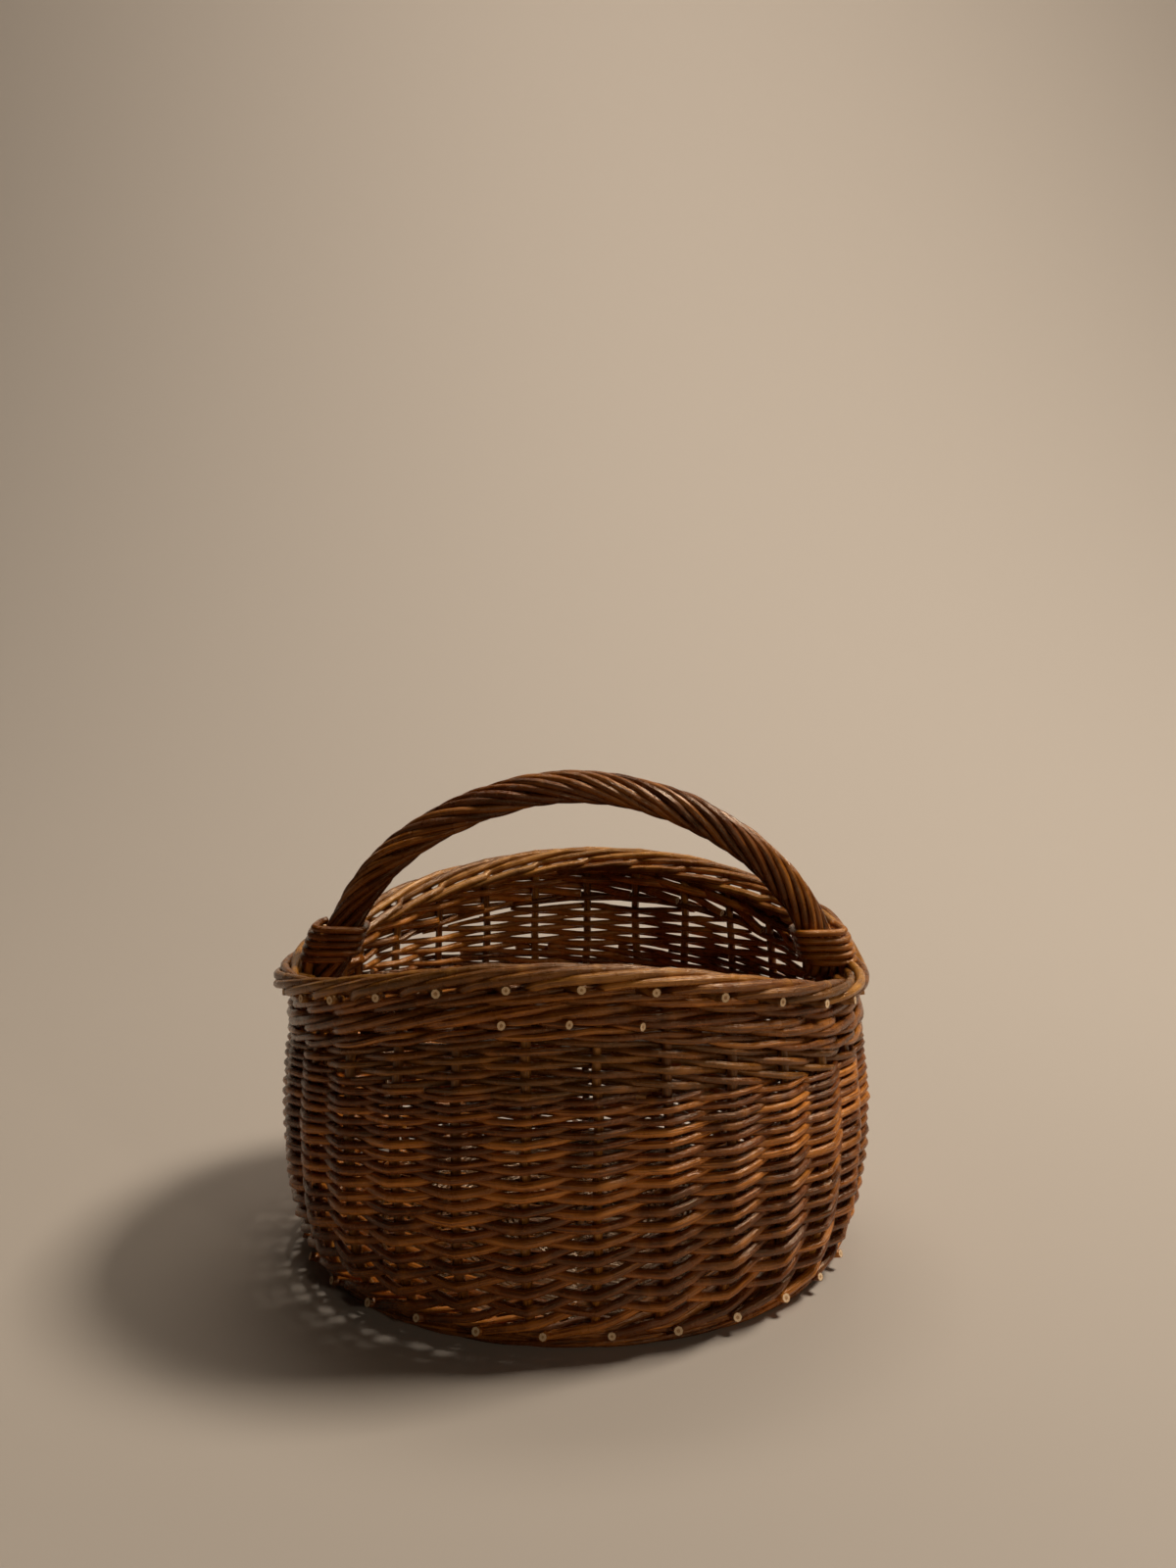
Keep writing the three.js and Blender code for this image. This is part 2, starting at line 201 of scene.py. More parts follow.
def willow_bark(name, dark, middle, light, olive, roughness):
    """Steamed brown willow with its bark on: satin, streaked along the rod, blotched along its
    length and dotted with small pale pores. The colour differs from rod to rod."""
    material, tree = new_material(name)
    along = add(tree, "ShaderNodeUVMap", uv_map="UVMap")
    place = add(tree, "ShaderNodeTexCoord")
    tone = add(tree, "ShaderNodeAttribute", attribute_name="tone")
    value = add(tree, "ShaderNodeAttribute", attribute_name="value")
    knot = add(tree, "ShaderNodeAttribute", attribute_name="knot")
    # Fibres about 1 mm wide and 40 mm long; the UV map is in metres along and round the rod.
    fibre_place = add(tree, "ShaderNodeMapping", {0: along.outputs[0], "Scale": (25, 900, 1)})
    fibres = add(tree, "ShaderNodeTexNoise", {"Vector": fibre_place.outputs[0], "Scale": 1,
                                             "Detail": 4, "Roughness": 0.6})
    # Blotches of darker bark, about 12 mm across.
    blotches = add(tree, "ShaderNodeTexNoise", {"Vector": place.outputs["Object"], "Scale": 80,
                                               "Detail": 3, "Roughness": 0.55})
    # Pores about 2 to 4 mm apart.
    pore_place = add(tree, "ShaderNodeMapping", {0: along.outputs[0], "Scale": (260, 420, 1)})
    pores = add(tree, "ShaderNodeTexVoronoi", {"Vector": pore_place.outputs[0], "Scale": 1})
    pore = add(tree, "ShaderNodeMapRange", {"Value": pores.outputs["Distance"], "From Min": 0.1,
                                           "From Max": 0.2, "To Min": 0.5, "To Max": 0})
    # Streaks and blotches together, lifted or lowered by the rod's value, give the colour. On some
    # rods that value is painted light or painted shade.
    mixed = add(tree, "ShaderNodeMath", {0: blotches.outputs[0], 1: 0.45, 2: fibres.outputs[0]},
                operation="MULTIPLY_ADD")
    lifted = add(tree, "ShaderNodeMath", {0: value.outputs["Fac"], 1: 0.7, 2: mixed.outputs[0]},
                 operation="MULTIPLY_ADD")
    spread = add(tree, "ShaderNodeMapRange", {"Value": lifted.outputs[0], "From Min": 0.68,
                                             "From Max": 1.4})
    ramp = add(tree, "ShaderNodeValToRGB", {0: spread.outputs[0]})
    ramp.color_ramp.elements[0].color = colour(dark)
    ramp.color_ramp.elements[1].color = colour(light)
    ramp.color_ramp.elements.new(0.5).color = colour(middle)
    greened = add(tree, "ShaderNodeMix", {0: tone.outputs["Fac"], 6: ramp.outputs[0],
                                         7: colour(olive)}, data_type="RGBA")
    shaded = add(tree, "ShaderNodeMix", {0: 0.5, 6: greened.outputs[2], 7: spread.outputs[0]},
                 data_type="RGBA", blend_type="OVERLAY")
    dotted = add(tree, "ShaderNodeMix", {0: pore.outputs[0], 6: shaded.outputs[2],
                                        7: colour(light)}, data_type="RGBA")
    knot_share = add(tree, "ShaderNodeMath", {0: knot.outputs["Fac"], 1: 0.45},
                     operation="MULTIPLY")
    knotted = add(tree, "ShaderNodeMix", {0: knot_share.outputs[0], 6: dotted.outputs[2],
                                         7: colour(light)}, data_type="RGBA")
    # The skin is smoother in some places than in others, and slightly raised along its fibres.
    gloss = add(tree, "ShaderNodeMapRange", {"Value": blotches.outputs[0], "From Min": 0.3,
                                            "From Max": 0.7, "To Min": roughness - 0.08,
                                            "To Max": roughness + 0.12})
    relief = add(tree, "ShaderNodeBump", {"Height": mixed.outputs[0], "Strength": 0.85,
                                         "Distance": 0.0009})
    bark = add(tree, "ShaderNodeBsdfPrincipled", {
        "Base Color": knotted.outputs[2], "Roughness": gloss.outputs[0], "IOR": 1.72,
        "Specular Tint": colour("FFDCB6"), "Normal": relief.outputs[0]})
    add(tree, "ShaderNodeOutputMaterial", {0: bark.outputs[0]})
    return material


def cut_willow(name, pale, ring):
    """Freshly cut willow: the end grain is pale, dry and matt, with faint growth rings."""
    material, tree = new_material(name)
    place = add(tree, "ShaderNodeTexCoord")
    grain = add(tree, "ShaderNodeTexNoise", {"Vector": place.outputs["Object"], "Scale": 1400,
                                            "Detail": 3})
    ramp = add(tree, "ShaderNodeValToRGB", {0: grain.outputs[0]})
    ramp.color_ramp.elements[0].position = 0.3
    ramp.color_ramp.elements[0].color = colour(ring)
    ramp.color_ramp.elements[1].position = 0.7
    ramp.color_ramp.elements[1].color = colour(pale)
    relief = add(tree, "ShaderNodeBump", {"Height": grain.outputs[0], "Strength": 0.4,
                                         "Distance": 0.0002})
    wood = add(tree, "ShaderNodeBsdfPrincipled", {"Base Color": ramp.outputs[0], "Roughness": 0.8,
                                                 "Normal": relief.outputs[0]})
    add(tree, "ShaderNodeOutputMaterial", {0: wood.outputs[0]})
    return material


bark_weaver = willow_bark("steamed_willow_weaver", "351402", "763808", "BC7229", "5E430E", 0.24)
bark_stake = willow_bark("steamed_willow_stake", "3B1904", "7D420F", "BC7E34", "644A13", 0.27)
bark_handle = willow_bark("steamed_willow_handle", "301202", "652E06", "9C5C1A", "583E0E", 0.26)
cut_end = cut_willow("cut_willow", "F6DCB4", "DDB07C")
pith = cut_willow("willow_pith", "CE9E6C", "A87646")

# Rods. Each is one open poly curve with a round bevel, turned into a closed mesh. A cut end shows
# a thin ring of bark, then wood, then pith.
BARK_THICKNESS = 0.0003
WOOD_THICKNESS = 0.0016
KNOT_SWELL = 0.13
RADIUS_WANDER = 0.07
WELD = 1e-6
# Nearer than this to its ends a rod has no knot, counted in points.
CLEAR_OF_KNOTS = 3

# One curve is the former for every rod.
former_curve = bpy.data.curves.new("former", "CURVE")
former_curve.dimensions = "3D"
former_curve.bevel_depth = 0.001
former_curve.use_fill_caps = True
former = bpy.data.objects.new("former", former_curve)
bpy.context.scene.collection.objects.link(former)


def rod(points, radii, tone, value, knots):
    """A rod's route in millimetres, its radii, and its looks: how olive it is, how pale it is and
    how many knots it has. On some rods the paleness is painted light or painted shade."""
    return {"points": points, "radii": radii, "tone": tone, "value": value, "knots": knots}


def swept(one, strand, sides):
    """The mesh of one rod, and how much of a knot each of its vertices has."""
    points, radii = one["points"], list(one["radii"])
    knots = [0.0] * len(points)
    for i in range(CLEAR_OF_KNOTS, len(points) - CLEAR_OF_KNOTS):
        if chance(strand + i * 0.37, 4) < one["knots"] / 3:
            knots[i] = 0.5 + 0.5 * chance(strand + i, 5)
            radii[i] *= 1 + KNOT_SWELL * knots[i]
    radii = [radius * (1 + RADIUS_WANDER * noise.noise(Vector((i * 0.37, strand * 3.3, 7))))
             for i, radius in enumerate(radii)]
    former_curve.bevel_resolution = (sides - 4) // 2
    former_curve.splines.clear()
    spline = former_curve.splines.new("POLY")
    spline.points.add(len(points) - 1)
    coordinates = [(p.x / 1000, p.y / 1000, p.z / 1000, 1) for p in points]
    spline.points.foreach_set("co", np.array(coordinates, dtype=np.float32).ravel())
    spline.points.foreach_set("radius", radii)
    former_curve.update_tag()
    bpy.context.view_layer.update()
    graph = bpy.context.evaluated_depsgraph_get()
    mesh = bpy.data.meshes.new_from_object(former.evaluated_get(graph))
    # The map runs along the rod and round it, in metres, from another place for each strand.
    length = sum((b - a).length for a, b in zip(points, points[1:])) / 1000
    girth = math.tau * sum(radii) / len(radii) / 1000
    flat = np.empty(len(mesh.loops) * 2, dtype=np.float32)
    mesh.uv_layers[0].data.foreach_get("uv", flat)
    flat = flat.reshape(-1, 2) * (length, girth) + (strand * 0.83, strand * 0.31)
    mesh.uv_layers[0].data.foreach_set("uv", flat.ravel().astype(np.float32))
    # The vertices of the two caps come first, then those of the rod's rings.
    knot_of = np.zeros(len(mesh.vertices), dtype=np.float32)
    knot_of[len(mesh.vertices) - len(points) * sides:] = np.repeat(knots, sides)
    return mesh, knot_of


def weave(name, rods, nodes, bark, sides=8):
    """Makes one piece of many rods, with pale cut ends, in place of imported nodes."""
    gathered = bmesh.new()
    tones, values, knots = [], [], []
    for index, one in enumerate(rods):
        mesh, knot_of = swept(one, index + len(name), sides)
        gathered.from_mesh(mesh)
        tones.append(np.full(len(mesh.vertices), one["tone"], dtype=np.float32))
        values.append(np.full(len(mesh.vertices), one["value"], dtype=np.float32))
        knots.append(knot_of)
        bpy.data.meshes.remove(mesh)
    mesh = bpy.data.meshes.new(name)
    gathered.to_mesh(mesh)
    gathered.free()
    for label, parts in (("tone", tones), ("value", values), ("knot", knots)):
        layer = mesh.attributes.new(label, "FLOAT", "POINT")
        layer.data.foreach_set("value", np.concatenate(parts))
    shape = bmesh.new()
    shape.from_mesh(mesh)
    bmesh.ops.remove_doubles(shape, verts=shape.verts, dist=WELD)
    # Only the fans that close a rod's ends are triangles: each becomes one flat face.
    caps = [face for face in shape.faces if len(face.verts) == 3]
    ends = bmesh.ops.dissolve_faces(shape, faces=caps)["region"]
    for thickness, number in ((BARK_THICKNESS, 1), (WOOD_THICKNESS, 2)):
        bmesh.ops.inset_individual(shape, faces=ends, thickness=thickness, depth=0)
        for face in ends:
            face.material_index = number
    for face in shape.faces:
        face.smooth = len(face.verts) == 4 and face.material_index == 0
    shape.to_mesh(mesh)
    shape.free()
    for material in (bark, cut_end, pith):
        mesh.materials.append(material)
    piece = bpy.data.objects.new(name, mesh)
    bpy.context.scene.collection.objects.link(piece)
    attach(piece, "root")
    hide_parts(*nodes)


# Stakes: up the wall and out, then rolled over each other to the right as the border, down
# inside it, and out again under it, where the pale cut tip of each shows.
STAKE_SIZE = 2.7
STAKE_SIZE_SPREAD = 0.5
HELD_STRAIGHT_TO = 40
# Where a stake leaves the wall and where it ends: bays along, millimetres out, and millimetres
# below the border's underside.
LEAVES_WALL = ((0.08, 2.5, 1.2), (0.2, 7, -0.6))
TAIL = ((0.15, -5.2, -4), (0.5, -5.8, -3), (0.9, -6.2, -1.2), (1.3, -6, 1), (1.48, -4.6, 1.8),
        (1.62, -1, 2), (1.72, 3, 1.6), (1.79, 7, 1.3), (1.82, 9.5, 1.3), (1.83, 13, 1.5))
TAIL_CLEAR_OF_BORDER = 9


def border_point(place, roll, wander):
    """A point of the roll, whose angle is 0 at its outside and a right angle on its top."""
    angle = place * BAY
    top = rim_top(angle)
    centre = wall(place, top - ROLL_HEIGHT)
    towards_left = max(-math.cos(angle - END_BULGE_TURN), 0)
    bulge = END_BULGE * towards_left ** END_BULGE_SHARPNESS
    centre += outward(angle) * (ROLL_OUT + bulge + (ROLL_HALF_WIDTH + wander) * math.cos(roll))
    centre.z = top - ROLL_HEIGHT / 2 + (ROLL_HALF_HEIGHT + wander) * math.sin(roll)
    return centre


def under_border(place, offset, drop):
    """A point so far out of the wall's middle and below the border's underside."""
    return wall(place, rim_top(place * BAY) - ROLL_HEIGHT - drop, offset)


def stake(index):
    """One stake, from the foot up the wall and through the border to its cut tip."""
    wander = index * 3.7
    points = [wall(index, height) for height in np.linspace(FOOT_LEVEL, HELD_STRAIGHT_TO, 8)]
    top = rim_top(index * BAY) - ROLL_HEIGHT - 3
    for height in np.linspace(HELD_STRAIGHT_TO + 6, top, 24):
        points.append(wall(index + drift(height / 40, wander, 0.05), height))
    points += [under_border(index + went, out, drop) for went, out, drop in LEAVES_WALL]
    for step in range(ROLL_STEPS + 1):
        share = step / ROLL_STEPS
        roll = math.radians(ROLL_START + (ROLL_END - ROLL_START) * share)
        place = index + ROLL_BEGINS + share * (ROLL_BAYS - ROLL_BEGINS)
        points.append(border_point(place, roll, drift(share * 5, wander + 40, 0.5)))
    for went, out, drop in TAIL:
        # The cut tips don't all stand out equally far.
        far = drift(index, 9, 2) if out > TAIL_CLEAR_OF_BORDER else 0
        points.append(under_border(index + ROLL_BAYS + went, out + far, drop))
    size = STAKE_SIZE + STAKE_SIZE_SPREAD * chance(index, 1)
    radii = [size * (1.06 - 0.08 * i / len(points)) for i in range(len(points))]
    return rod(points, radii, tone=0.35 * chance(index, 2), value=0.35 + 0.4 * chance(index, 3),
               knots=0.05)


for index in range(STAKES):
    name = f"stake_{index + 1:02d}"
    weave("rolled_" + name, [stake(index)], [name], bark_stake)


# Siding: French randing, one weaver from each stake, butt end down, every weaver going in
# front of one stake and behind the next and climbing a row at each. Two rows take less height
# the higher they are, because the weavers taper.
ROW_PAIR = 13.4
ROW_PAIR_SHRINK = 0.047
# The butt lies before row 0: where its points are, its climb to a row, and its turn out.
BUTT_ROWS = (-0.78, -0.76, -0.72, -0.65, -0.52, -0.35, -0.18)
BUTT_CLIMB = 11
BUTT_TURN_OUT = 0.05
BUTT_END = -0.79
# A weaver's radius is a share of two rows' height, up to a most.
WEAVER_STEP = 0.125
WEAVER_SHARE = 0.355
WEAVER_MOST = 2.95
# Neighbouring rods press into each other a little, so a rod lies closer than its own radius.
PRESSED = 0.95


def in_and_out(row):
    """1 in front of an even stake and -1 behind an odd one, bent most sharply at the stakes."""
    straight = 1 - 2 * abs((row + 1) % 2 - 1)
    return 0.65 * straight + 0.35 * math.cos(math.pi * row)


def two_row_pitch(height):
    """The height that two rows of randing take."""
    return ROW_PAIR - ROW_PAIR_SHRINK * height


def randing_height(place, row):
    """The height of a row, pressed together where the randing's top dips to the handles."""
    if row < 0:
        return RANDING_START + BUTT_CLIMB * row
    pitch = two_row_pitch(RANDING_START) * math.exp(-ROW_PAIR_SHRINK / 2 * row)
    height = (ROW_PAIR - pitch) / ROW_PAIR_SHRINK
    share = (rim_top(place * BAY) - RIM_AT_HANDLE) / (RIM_HEIGHT - RIM_AT_HANDLE)
    top = RANDING_TOP_AT_HANDLE + (RANDING_TOP - RANDING_TOP_AT_HANDLE) * share
    if math.sin(place * BAY) > 0:
        top = min(RANDING_TOP, wale_low(place))
    squeeze = (top - RANDING_START) / (RANDING_TOP - RANDING_START)
    return RANDING_START + (height - RANDING_START) * squeeze


def randing_rod(start):
    """The rod dips in front of a stake and lifts behind the next, so each stroke bends there."""
    points, radii = [], []
    last = RANDING_ROWS - 0.6 + 0.5 * chance(start, 6)
    thick = 0.92 + 0.16 * chance(start, 7)
    for row in (*BUTT_ROWS, *np.arange(0, last, WEAVER_STEP)):
        place = start + row
        height = randing_height(place, row)
        radius = min(WEAVER_SHARE * two_row_pitch(height), WEAVER_MOST) * thick
        out = (STAKE_RADIUS + radius * PRESSED) * in_and_out(row)
        if row < 0:
            # The butt lies outside the stakes, and its cut end turns out to face the eye.
            turned_out = BUTT_TURN_OUT / (row - BUTT_END)
            out = STAKE_RADIUS + radius + turned_out
            height += turned_out
        else:
            dip = 0.07 + 0.08 * smooth((100 - height) / 60)
            height -= dip * two_row_pitch(height) * in_and_out(row) * smooth(row + 0.4)
        out += drift(place * 1.3, start + 11, 0.7)
        height += drift(place * 1.1, start + 90, 1.1)
        points.append(wall(place, height, out))
        radii.append(radius)
    return rod(points, radii, tone=0.15 * chance(start, 2) ** 2,
               value=0.3 + 0.5 * chance(start, 3), knots=0.2)


weave("randed_siding", [randing_rod(k) for k in range(STAKES)],
      ["lower_siding", "middle_siding"], bark_weaver)


# Packing: short rows of thick olive rods under the wale. At the front they lie along it and
# end where the randing comes up to them; at the back they are level and end where it dips.
PACKING_RADIUS = 2.3
# A row may go this far into the randing and into the wale, and has at least so many points.
INTO_RANDING = 2.2
INTO_WALE = 1.2
PACKING_FEWEST = 9
POINTS_IN_BAY = 6


def packing_rows():
    """The rows at the back and then those at the front, each drawn out slim at both ends."""
    rows = []
    for at_front in (0, 1):
        # The rows at the back are painted paler: painted light on the inside of the back wall,
        # which faces the camera.
        value_with_painted_light = 0.35 if at_front else 0.65
        for row in range(PACKING_ROWS + at_front):
            strand = row + at_front * 9
            radius = PACKING_RADIUS + 0.3 * chance(strand, 8)
            points = []
            for step in range(STAKES * POINTS_IN_BAY // 2 + 1):
                place = at_front * STAKES / 2 + step / POINTS_IN_BAY
                height = RANDING_TOP + (row + 0.2) * PACKING_PITCH
                if at_front:
                    height = wale_low(place) - (row + 0.4) * PACKING_PITCH
                lowest = randing_height(place, RANDING_ROWS) - INTO_RANDING
                if not lowest < height < wale_low(place) + INTO_WALE:
                    continue
                height += drift(place, strand + 60, 0.8)
                out = (STAKE_RADIUS + radius * PRESSED) * in_and_out(place + row)
                points.append(wall(place, height, out + drift(place, strand + 30, 0.5)))
            if len(points) < PACKING_FEWEST:
                continue
            radii = [radius] * len(points)
            for end in range(4):
                radii[end] *= 0.55 + 0.1 * end
                radii[-1 - end] *= 0.55 + 0.1 * end
            rows.append(rod(points, radii, tone=0.15 + 0.35 * chance(strand, 2),
                            value=value_with_painted_light + 0.3 * chance(strand, 3), knots=0.3))
    return rows


weave("packed_siding", packing_rows(), ["upper_siding"], bark_weaver)


# Waling: rods that go in front of two stakes and behind one. A round goes a little past its start.
ROUND = STAKES + 0.6
LOW_WALE_RADIUS = 2.1
UPSETT_RADIUS = 2.0
UPSETT_HEIGHT = 11.5
UPSETT_PRESSED = 0.8
# A rod of the upper wale: where it begins and how far it goes, in bays from its stake, then its
# radius and its height over the band's lower edge at places along it.
WALE_BEGINS = -0.9
WALE_REACH = 6.2
WALE_STEPS = 38
WALE_TAPER = ((0, 1.5, 3, 5), (3.15, 3.05, 2.6, 2.2))
WALE_CLIMB = ((-1, 0, 1, 2, 3, 4, 5.3), (9.5, 11.8, 17, 21, 22.8, 27, 29.6))
# The three closing ends: where they are, and how each comes out, as bays along and millimetres.
CLOSING_BAYS = (20.93, 21.84, 22.82)
CLOSING_ROUTE = ((-0.95, -4.5), (-0.72, -1), (-0.5, 3), (-0.32, 6.5), (-0.25, 8), (-0.22, 9.6))
CLOSING_HEIGHT = 9.9
CLOSING_RADIUS = 2.9


def wale_side(phase):
    """1 in front of the stakes at 0 and 1, -1 behind the stake at 2, of every three."""
    phase = phase % 3
    return 1 if phase < 1 else math.cos(math.pi * (phase - 1))


def wale_rod(start, base, strand, radius, pressed):
    """A rod of a whole round. base gives the height of the round's lower strand at a place."""
    points = []
    steps = round(ROUND * POINTS_IN_BAY)
    reach = STAKE_RADIUS + radius * pressed
    for step in range(steps + 1):
        went = ROUND * step / steps
        place = start + went
        phase = went % 3
        rise = smooth(phase - 0.1) if phase < 2 else 1 - smooth(phase - 2)
        height = base(place) + rise * 2 * radius * 0.97 + drift(place, strand, 0.6)
        points.append(wall(place, height, wale_side(phase) * reach + drift(place, strand + 5, 0.4)))
    return rod(points, [radius] * len(points), tone=0.2 * chance(strand, 2),
               value=0.35 + 0.4 * chance(strand, 3), knots=0.12)


def top_wale_rods():
    rods = [wale_rod(10 + k, lambda place: wale_low(place) + 1.9, 300 + k, LOW_WALE_RADIUS,
                     PRESSED) for k in range(3)]
    # Above that round a rod starts at each stake. It climbs past two stakes, goes behind one
    # and climbs past two more, thinner by then.
    for k in range(STAKES):
        points, radii = [], []
        strand = 400 + k * 3
        thick = 0.95 + 0.1 * chance(strand, 1)
        for step in range(WALE_STEPS + 1):
            went = WALE_BEGINS + WALE_REACH * step / WALE_STEPS
            place = k + went
            radius = float(np.interp(went, *WALE_TAPER)) * thick
            side = wale_side(went) if went > 0 else math.cos(math.pi * went / -WALE_BEGINS)
            height = wale_low(place) + float(np.interp(went, *WALE_CLIMB))
            points.append(wall(place, height + drift(place, strand, 0.7),
                               side * (STAKE_RADIUS + radius * PRESSED)))
            radii.append(radius)
        # Those across the back are painted paler: painted light on the inside of the back wall.
        value_with_painted_light = 0.6 if 1 < k < 12 else 0.35
        rods.append(rod(points, radii, tone=0.25 * chance(strand, 2),
                        value=value_with_painted_light + 0.4 * chance(strand, 3), knots=0.1))
    # Where the round was closed, three thick ends come out, cut off just outside the wall.
    for k in CLOSING_BAYS:
        end = [wall(k + at, wale_low(k + at) + CLOSING_HEIGHT + drift(k, 3, 0.8), out)
               for at, out in CLOSING_ROUTE]
        rods.append(rod(end, [CLOSING_RADIUS] * len(end), tone=0.1, value=0.5, knots=0))
    return rods


weave("top_waling", top_wale_rods(), ["top_wale"], bark_weaver)

# Upsett: a round of waling that sets the stakes up, behind the butts of the randing.
upsett = [wale_rod(5 + k, lambda place: UPSETT_HEIGHT, 600 + k, UPSETT_RADIUS, UPSETT_PRESSED)
          for k in range(3)]
weave("upsett_waling", upsett, ["upsett_wale"], bark_weaver)

# The foot: slim rods wound round the ends of the stakes, low enough to stand on the floor. Each
# set has a number of rods, the bay of the first, its strand, and the rods' radius, their reach
# out of the wall and their height.
FOOT_SETS = (
    (3, 0, 700, 1.8, 4.6, 3.3),
    (2, 0.5, 710, 1.7, 5.2, 8.2),
    (3, 0.5, 720, 1.9, -4.8, 3.8),
    (2, 0.2, 730, 1.8, -8.2, 5),
)
POINTS_IN_FOOT_BAY = 5


def foot_rod(start, strand, radius, reach, height):
    """A rod that goes once round the foot and turns about its fellows every three bays."""
    points = []
    for step in range((STAKES + 1) * POINTS_IN_FOOT_BAY + 1):
        went = step / POINTS_IN_FOOT_BAY
        angle = (start + went) * BAY
        turn = math.tau * went / 3
        centre = wall(start + went, FOOT_LEVEL)
        centre += outward(angle) * (reach + 0.9 * math.cos(turn))
        centre.z = height + 1.2 * math.sin(turn) + drift(went, strand, 0.4)
        points.append(centre)
    return rod(points, [radius] * len(points), tone=0.2 * chance(strand, 2),
               value=0.35 + 0.3 * chance(strand, 3), knots=0.1)


foot = [foot_rod(k + start, strand + k, *sizes) for count, start, strand, *sizes in FOOT_SETS
        for k in range(count)]
weave("foot_waling", foot, ["foot_ring"], bark_weaver)

# The base: crossed sticks fanned out, and two weavers that twine round them.
STICKS = 4
SPOKE = math.pi / (2 * STICKS)
BASE_HEIGHT = 7.9
INNER_WIDTH = 159.7
INNER_DEPTH = 139.7
STICK_RADIUS = 2.5
STICK_LIFT = 5.2
STICK_SPACING = 6.2
STICK_START = 6
STICK_REACH = 160
STICK_STEPS = 12
TWINING_START = 37
TWINING_PITCH = 4.55
TWINING_STEP = 0.25


def base_point(angle, distance, height):
    """A point of the base, whose distance is drawn in where the base is less deep than wide."""
    stretch = math.hypot(math.cos(angle), math.sin(angle) * INNER_WIDTH / INNER_DEPTH)
    reach = distance / stretch
    return Vector((reach * math.cos(angle), reach * math.sin(angle), height))


def base_stick(place, bundle):
    """Straight in the middle, where one bundle lies over the other, and then fanned out."""
    turned = bundle * math.pi / 2
    ahead = Vector((math.cos(turned), math.sin(turned), 0))
    aside = Vector((-math.sin(turned), math.cos(turned), 0))
    from_middle = place - (STICKS - 1) / 2
    fan = from_middle * SPOKE
    points = []
    for sign in (-1, 1):
        arm = []
        for step in range(STICK_STEPS + 1):
            share = step / STICK_STEPS
            distance = STICK_START + STICK_REACH * share
            straight = (ahead * (sign * distance) + aside * (from_middle * STICK_SPACING)
                        + UP * (BASE_HEIGHT + bundle * STICK_LIFT))
            spread_angle = turned + (fan if sign > 0 else math.pi - fan)
            spoke = base_point(spread_angle, distance, BASE_HEIGHT)
            arm.append(straight.lerp(spoke, smooth((share - 0.08) / 0.2)))
        points += arm[::-1] if sign < 0 else arm
    middle = (len(points) - 1) / 2
    radii = [STICK_RADIUS * (1 - 0.1 * abs(i / middle - 1)) for i in range(len(points))]
    # The sticks are painted dark: painted shade on the floor of the basket, seen through the gaps
    # of the weave.
    return rod(points, radii, tone=0.2, value=0.2 * chance(place + bundle * 9, 3), knots=0.1)


for number in range(2 * STICKS):
    stick = base_stick(number % STICKS, number // STICKS)
    weave(f"spoke_stick_{number + 1}", [stick], [f"base_stick_{number + 1}"],
          bark_stake)


def base_rod(turn):
    """Twining: one weaver is over each spoke that the other is under."""
    points, radii = [], []
    spokes = 4 * STICKS
    went = 0
    while True:
        distance = TWINING_START + TWINING_PITCH * went / spokes
        if distance > INNER_WIDTH + 2:
            break
        angle = (went + 0.5) * SPOKE
        side = math.cos(math.pi * (went + turn))
        radius = 1.9 + 0.35 * min(1, went / 90)
        height = BASE_HEIGHT + side * (STICK_RADIUS + radius * 0.85) + drift(went, turn, 0.4)
        points.append(base_point(angle, distance + drift(went, turn + 3, 0.8), height))
        radii.append(radius)
        went += TWINING_STEP
    # The weavers are painted dark too: painted shade on the floor of the basket, seen through the
    # weave.
    return rod(points, radii, tone=0.3, value=0.05, knots=0.08)


for turn in range(2):
    weave(f"twined_weaver_{turn + 1}", [base_rod(turn)],
          [f"base_weaver_{turn + 1}"], bark_weaver, sides=6)

# The handle: a thick bow, its legs pushed down inside the wall, roped with ten rods.
BOW_RADIUS = 6
BOW_HALF_WIDTH = wall(0, WALL_TOP, -(WALL_HALF + 0.4 + BOW_RADIUS)).x
BOW_SHAPE = 1.83
ARCH_STEPS = 40
LEG_LENGTH = 95
LEG_END = 6
LEG_POINTS = 9
HANDLE_HEIGHT = 329
LEFT_LEAN = 4.5
ROPE_RODS = 10
ROPE_TWISTS = 3.0
ROPE_RADIUS = 2.7
ROPE_OUTER = 11.83
ROPE_STEPS = 120
BOW_RISE = HANDLE_HEIGHT - ROPE_OUTER - WALL_TOP


def bow_place(turn):
    """A point of the bow's line, a half ellipse drawn in a little at its shoulders. Its left leg
    leans in a little more than its right."""
    across, up = math.cos(turn), max(math.sin(turn), 0)
    reach = math.copysign(abs(across) ** (2 / BOW_SHAPE), across)
    lean = LEFT_LEAN * max(-across, 0) * smooth(up * 6) * smooth((0.75 - up) / 0.5)
    return Vector((BOW_HALF_WIDTH * reach + lean, 0, WALL_TOP + BOW_RISE * up ** (2 / BOW_SHAPE)))


bow_turns = np.linspace(0, math.pi, 720)
bow_places = [bow_place(turn) for turn in bow_turns]
bow_steps = [(b - a).length for a, b in zip(bow_places, bow_places[1:])]
bow_lengths = np.concatenate([[0], np.cumsum(bow_steps)])
BOW_LENGTH = bow_lengths[-1]


def bow_point(share):
    """The bow's place at a share of its length, and the way out of its curve there."""
    turn = float(np.interp(share * BOW_LENGTH, bow_lengths, bow_turns))
    ahead = bow_place(min(turn + 0.01, math.pi)) - bow_place(max(turn - 0.01, 0))
    return bow_place(turn), BACK.cross(ahead).normalized()


def bow_reach(height):
    """How far out of the basket's middle the bow stands at a height."""
    share = max(height - WALL_TOP, 0) / BOW_RISE
    return BOW_HALF_WIDTH * (1 - share ** BOW_SHAPE) ** (1 / BOW_SHAPE)


